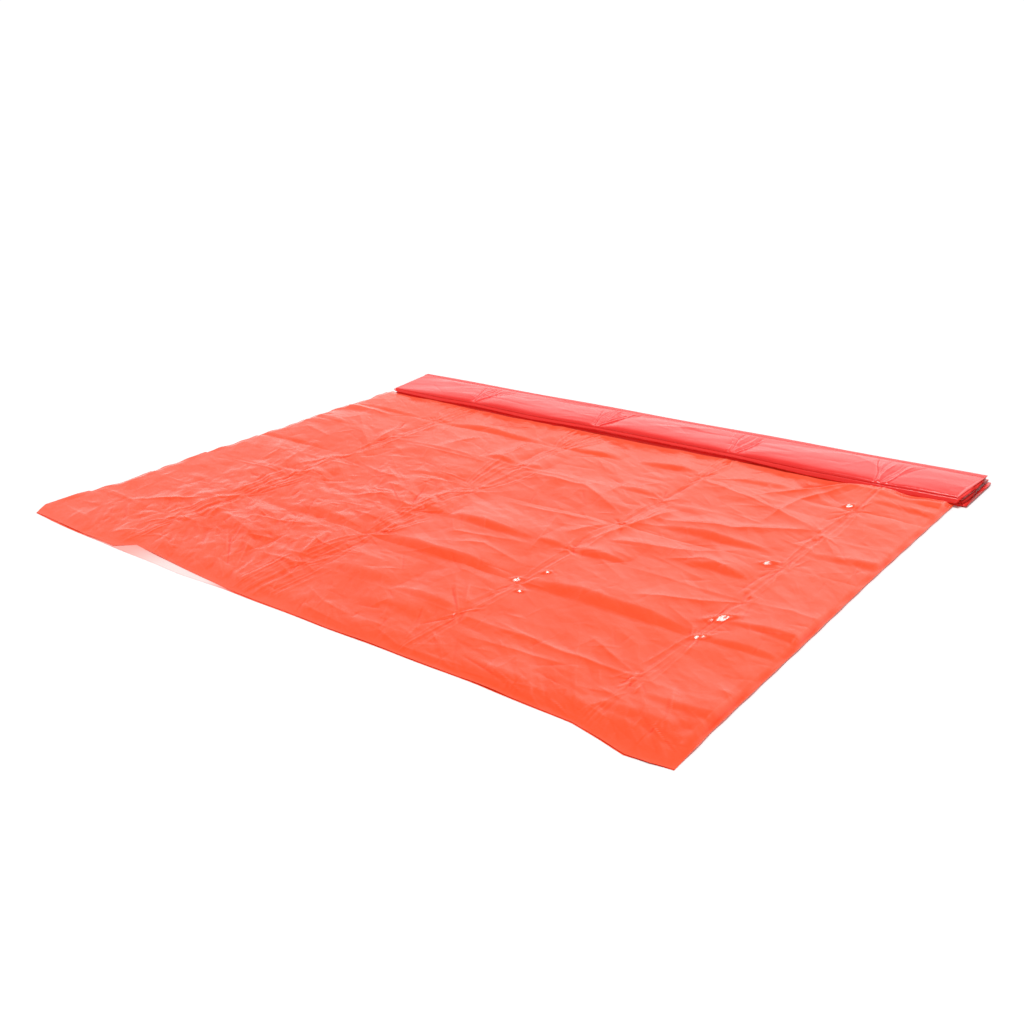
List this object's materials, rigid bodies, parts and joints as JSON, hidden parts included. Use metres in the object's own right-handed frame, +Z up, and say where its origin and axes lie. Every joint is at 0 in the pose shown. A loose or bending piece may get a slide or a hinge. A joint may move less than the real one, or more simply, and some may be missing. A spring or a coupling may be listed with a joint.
{
  "type": "bivy sack",
  "caption": "Open-ended waterproof film bag that a person shelters inside in bad weather, laid out flat with its foot end still folded in a pack.",
  "frame": {"origin": "on the ground under the middle of the bag as it lies, halfway between its sides and halfway from the mouth to the far edge of the pack", "axes": "+X runs along the mouth, +Y from the mouth to the foot, +Z up"},
  "size_m": [0.9, 0.7198, 0.0107],
  "materials": {
    "open_film": "glossy, slightly see-through polythene film with creases",
    "pack_film": "the same film in many layers, so deeper in colour",
    "fused_film": "heat-fused film with a fine cross-ribbed weld line"
  },
  "bodies": {
    "base": {"lower_wall": "open_film", "upper_wall": "open_film", "upper_wall_slope": "open_film", "left_side_fold": "open_film", "right_side_fold": "open_film", "tucked_panel": "pack_film"},
    "mouth": {"mouth_flap": "open_film"},
    "foot_01": {"foot_panel_01": "pack_film"},
    "foot_02": {"foot_panel_02": "pack_film"},
    "foot_03": {"foot_panel_03": "pack_film"},
    "foot_04": {"foot_panel_04": "pack_film"},
    "foot_05": {"foot_panel_05": "pack_film"},
    "foot_06": {"foot_panel_06": "pack_film"},
    "foot_07": {"foot_panel_07": "pack_film"},
    "foot_08": {"foot_panel_08": "pack_film"},
    "foot_09": {"foot_panel_09": "pack_film"},
    "foot_10": {"foot_panel_10": "pack_film"},
    "foot_11": {"foot_panel_11": "pack_film"},
    "foot_12": {"foot_panel_12": "pack_film", "foot_weld": "fused_film"}
  },
  "joints": [
    {"name": "mouth_lift", "type": "hinge", "parent": "base", "child": "mouth", "pos_m": [0, -0.09, 0.0056], "axis": [-1, 0, 0], "range_deg": [0, 25]},
    {"name": "foot_unfold", "type": "hinge", "parent": "base", "child": "foot_01", "pos_m": [0, 0.36, 0.0012], "axis": [-1, 0, 0], "range_deg": [0, 180]},
    {"name": "foot_crease_02", "type": "hinge", "parent": "foot_01", "child": "foot_02", "pos_m": [0, 0.27, 0.002], "axis": [-1, 0, 0], "range_deg": [-180, 0]},
    {"name": "foot_crease_03", "type": "hinge", "parent": "foot_02", "child": "foot_03", "pos_m": [0, 0.36, 0.0028], "axis": [-1, 0, 0], "range_deg": [0, 180]},
    {"name": "foot_crease_04", "type": "hinge", "parent": "foot_03", "child": "foot_04", "pos_m": [0, 0.27, 0.0036], "axis": [-1, 0, 0], "range_deg": [-180, 0]},
    {"name": "foot_crease_05", "type": "hinge", "parent": "foot_04", "child": "foot_05", "pos_m": [0, 0.36, 0.0044], "axis": [-1, 0, 0], "range_deg": [0, 180]},
    {"name": "foot_crease_06", "type": "hinge", "parent": "foot_05", "child": "foot_06", "pos_m": [0, 0.27, 0.0052], "axis": [-1, 0, 0], "range_deg": [-180, 0]},
    {"name": "foot_crease_07", "type": "hinge", "parent": "foot_06", "child": "foot_07", "pos_m": [0, 0.36, 0.006], "axis": [-1, 0, 0], "range_deg": [0, 180]},
    {"name": "foot_crease_08", "type": "hinge", "parent": "foot_07", "child": "foot_08", "pos_m": [0, 0.27, 0.0068], "axis": [-1, 0, 0], "range_deg": [-180, 0]},
    {"name": "foot_crease_09", "type": "hinge", "parent": "foot_08", "child": "foot_09", "pos_m": [0, 0.36, 0.0076], "axis": [-1, 0, 0], "range_deg": [0, 180]},
    {"name": "foot_crease_10", "type": "hinge", "parent": "foot_09", "child": "foot_10", "pos_m": [0, 0.27, 0.0084], "axis": [-1, 0, 0], "range_deg": [-180, 0]},
    {"name": "foot_crease_11", "type": "hinge", "parent": "foot_10", "child": "foot_11", "pos_m": [0, 0.36, 0.0092], "axis": [-1, 0, 0], "range_deg": [0, 180]},
    {"name": "foot_crease_12", "type": "hinge", "parent": "foot_11", "child": "foot_12", "pos_m": [0, 0.27, 0.01], "axis": [-1, 0, 0], "range_deg": [-180, 0]}
  ],
  "couplings": [
    {"joint": "foot_crease_02", "follows": "foot_unfold", "ratio": -1},
    {"joint": "foot_crease_03", "follows": "foot_unfold", "ratio": 1},
    {"joint": "foot_crease_04", "follows": "foot_unfold", "ratio": -1},
    {"joint": "foot_crease_05", "follows": "foot_unfold", "ratio": 1},
    {"joint": "foot_crease_06", "follows": "foot_unfold", "ratio": -1},
    {"joint": "foot_crease_07", "follows": "foot_unfold", "ratio": 1},
    {"joint": "foot_crease_08", "follows": "foot_unfold", "ratio": -1},
    {"joint": "foot_crease_09", "follows": "foot_unfold", "ratio": 1},
    {"joint": "foot_crease_10", "follows": "foot_unfold", "ratio": -1},
    {"joint": "foot_crease_11", "follows": "foot_unfold", "ratio": 1},
    {"joint": "foot_crease_12", "follows": "foot_unfold", "ratio": -1}
  ]
}
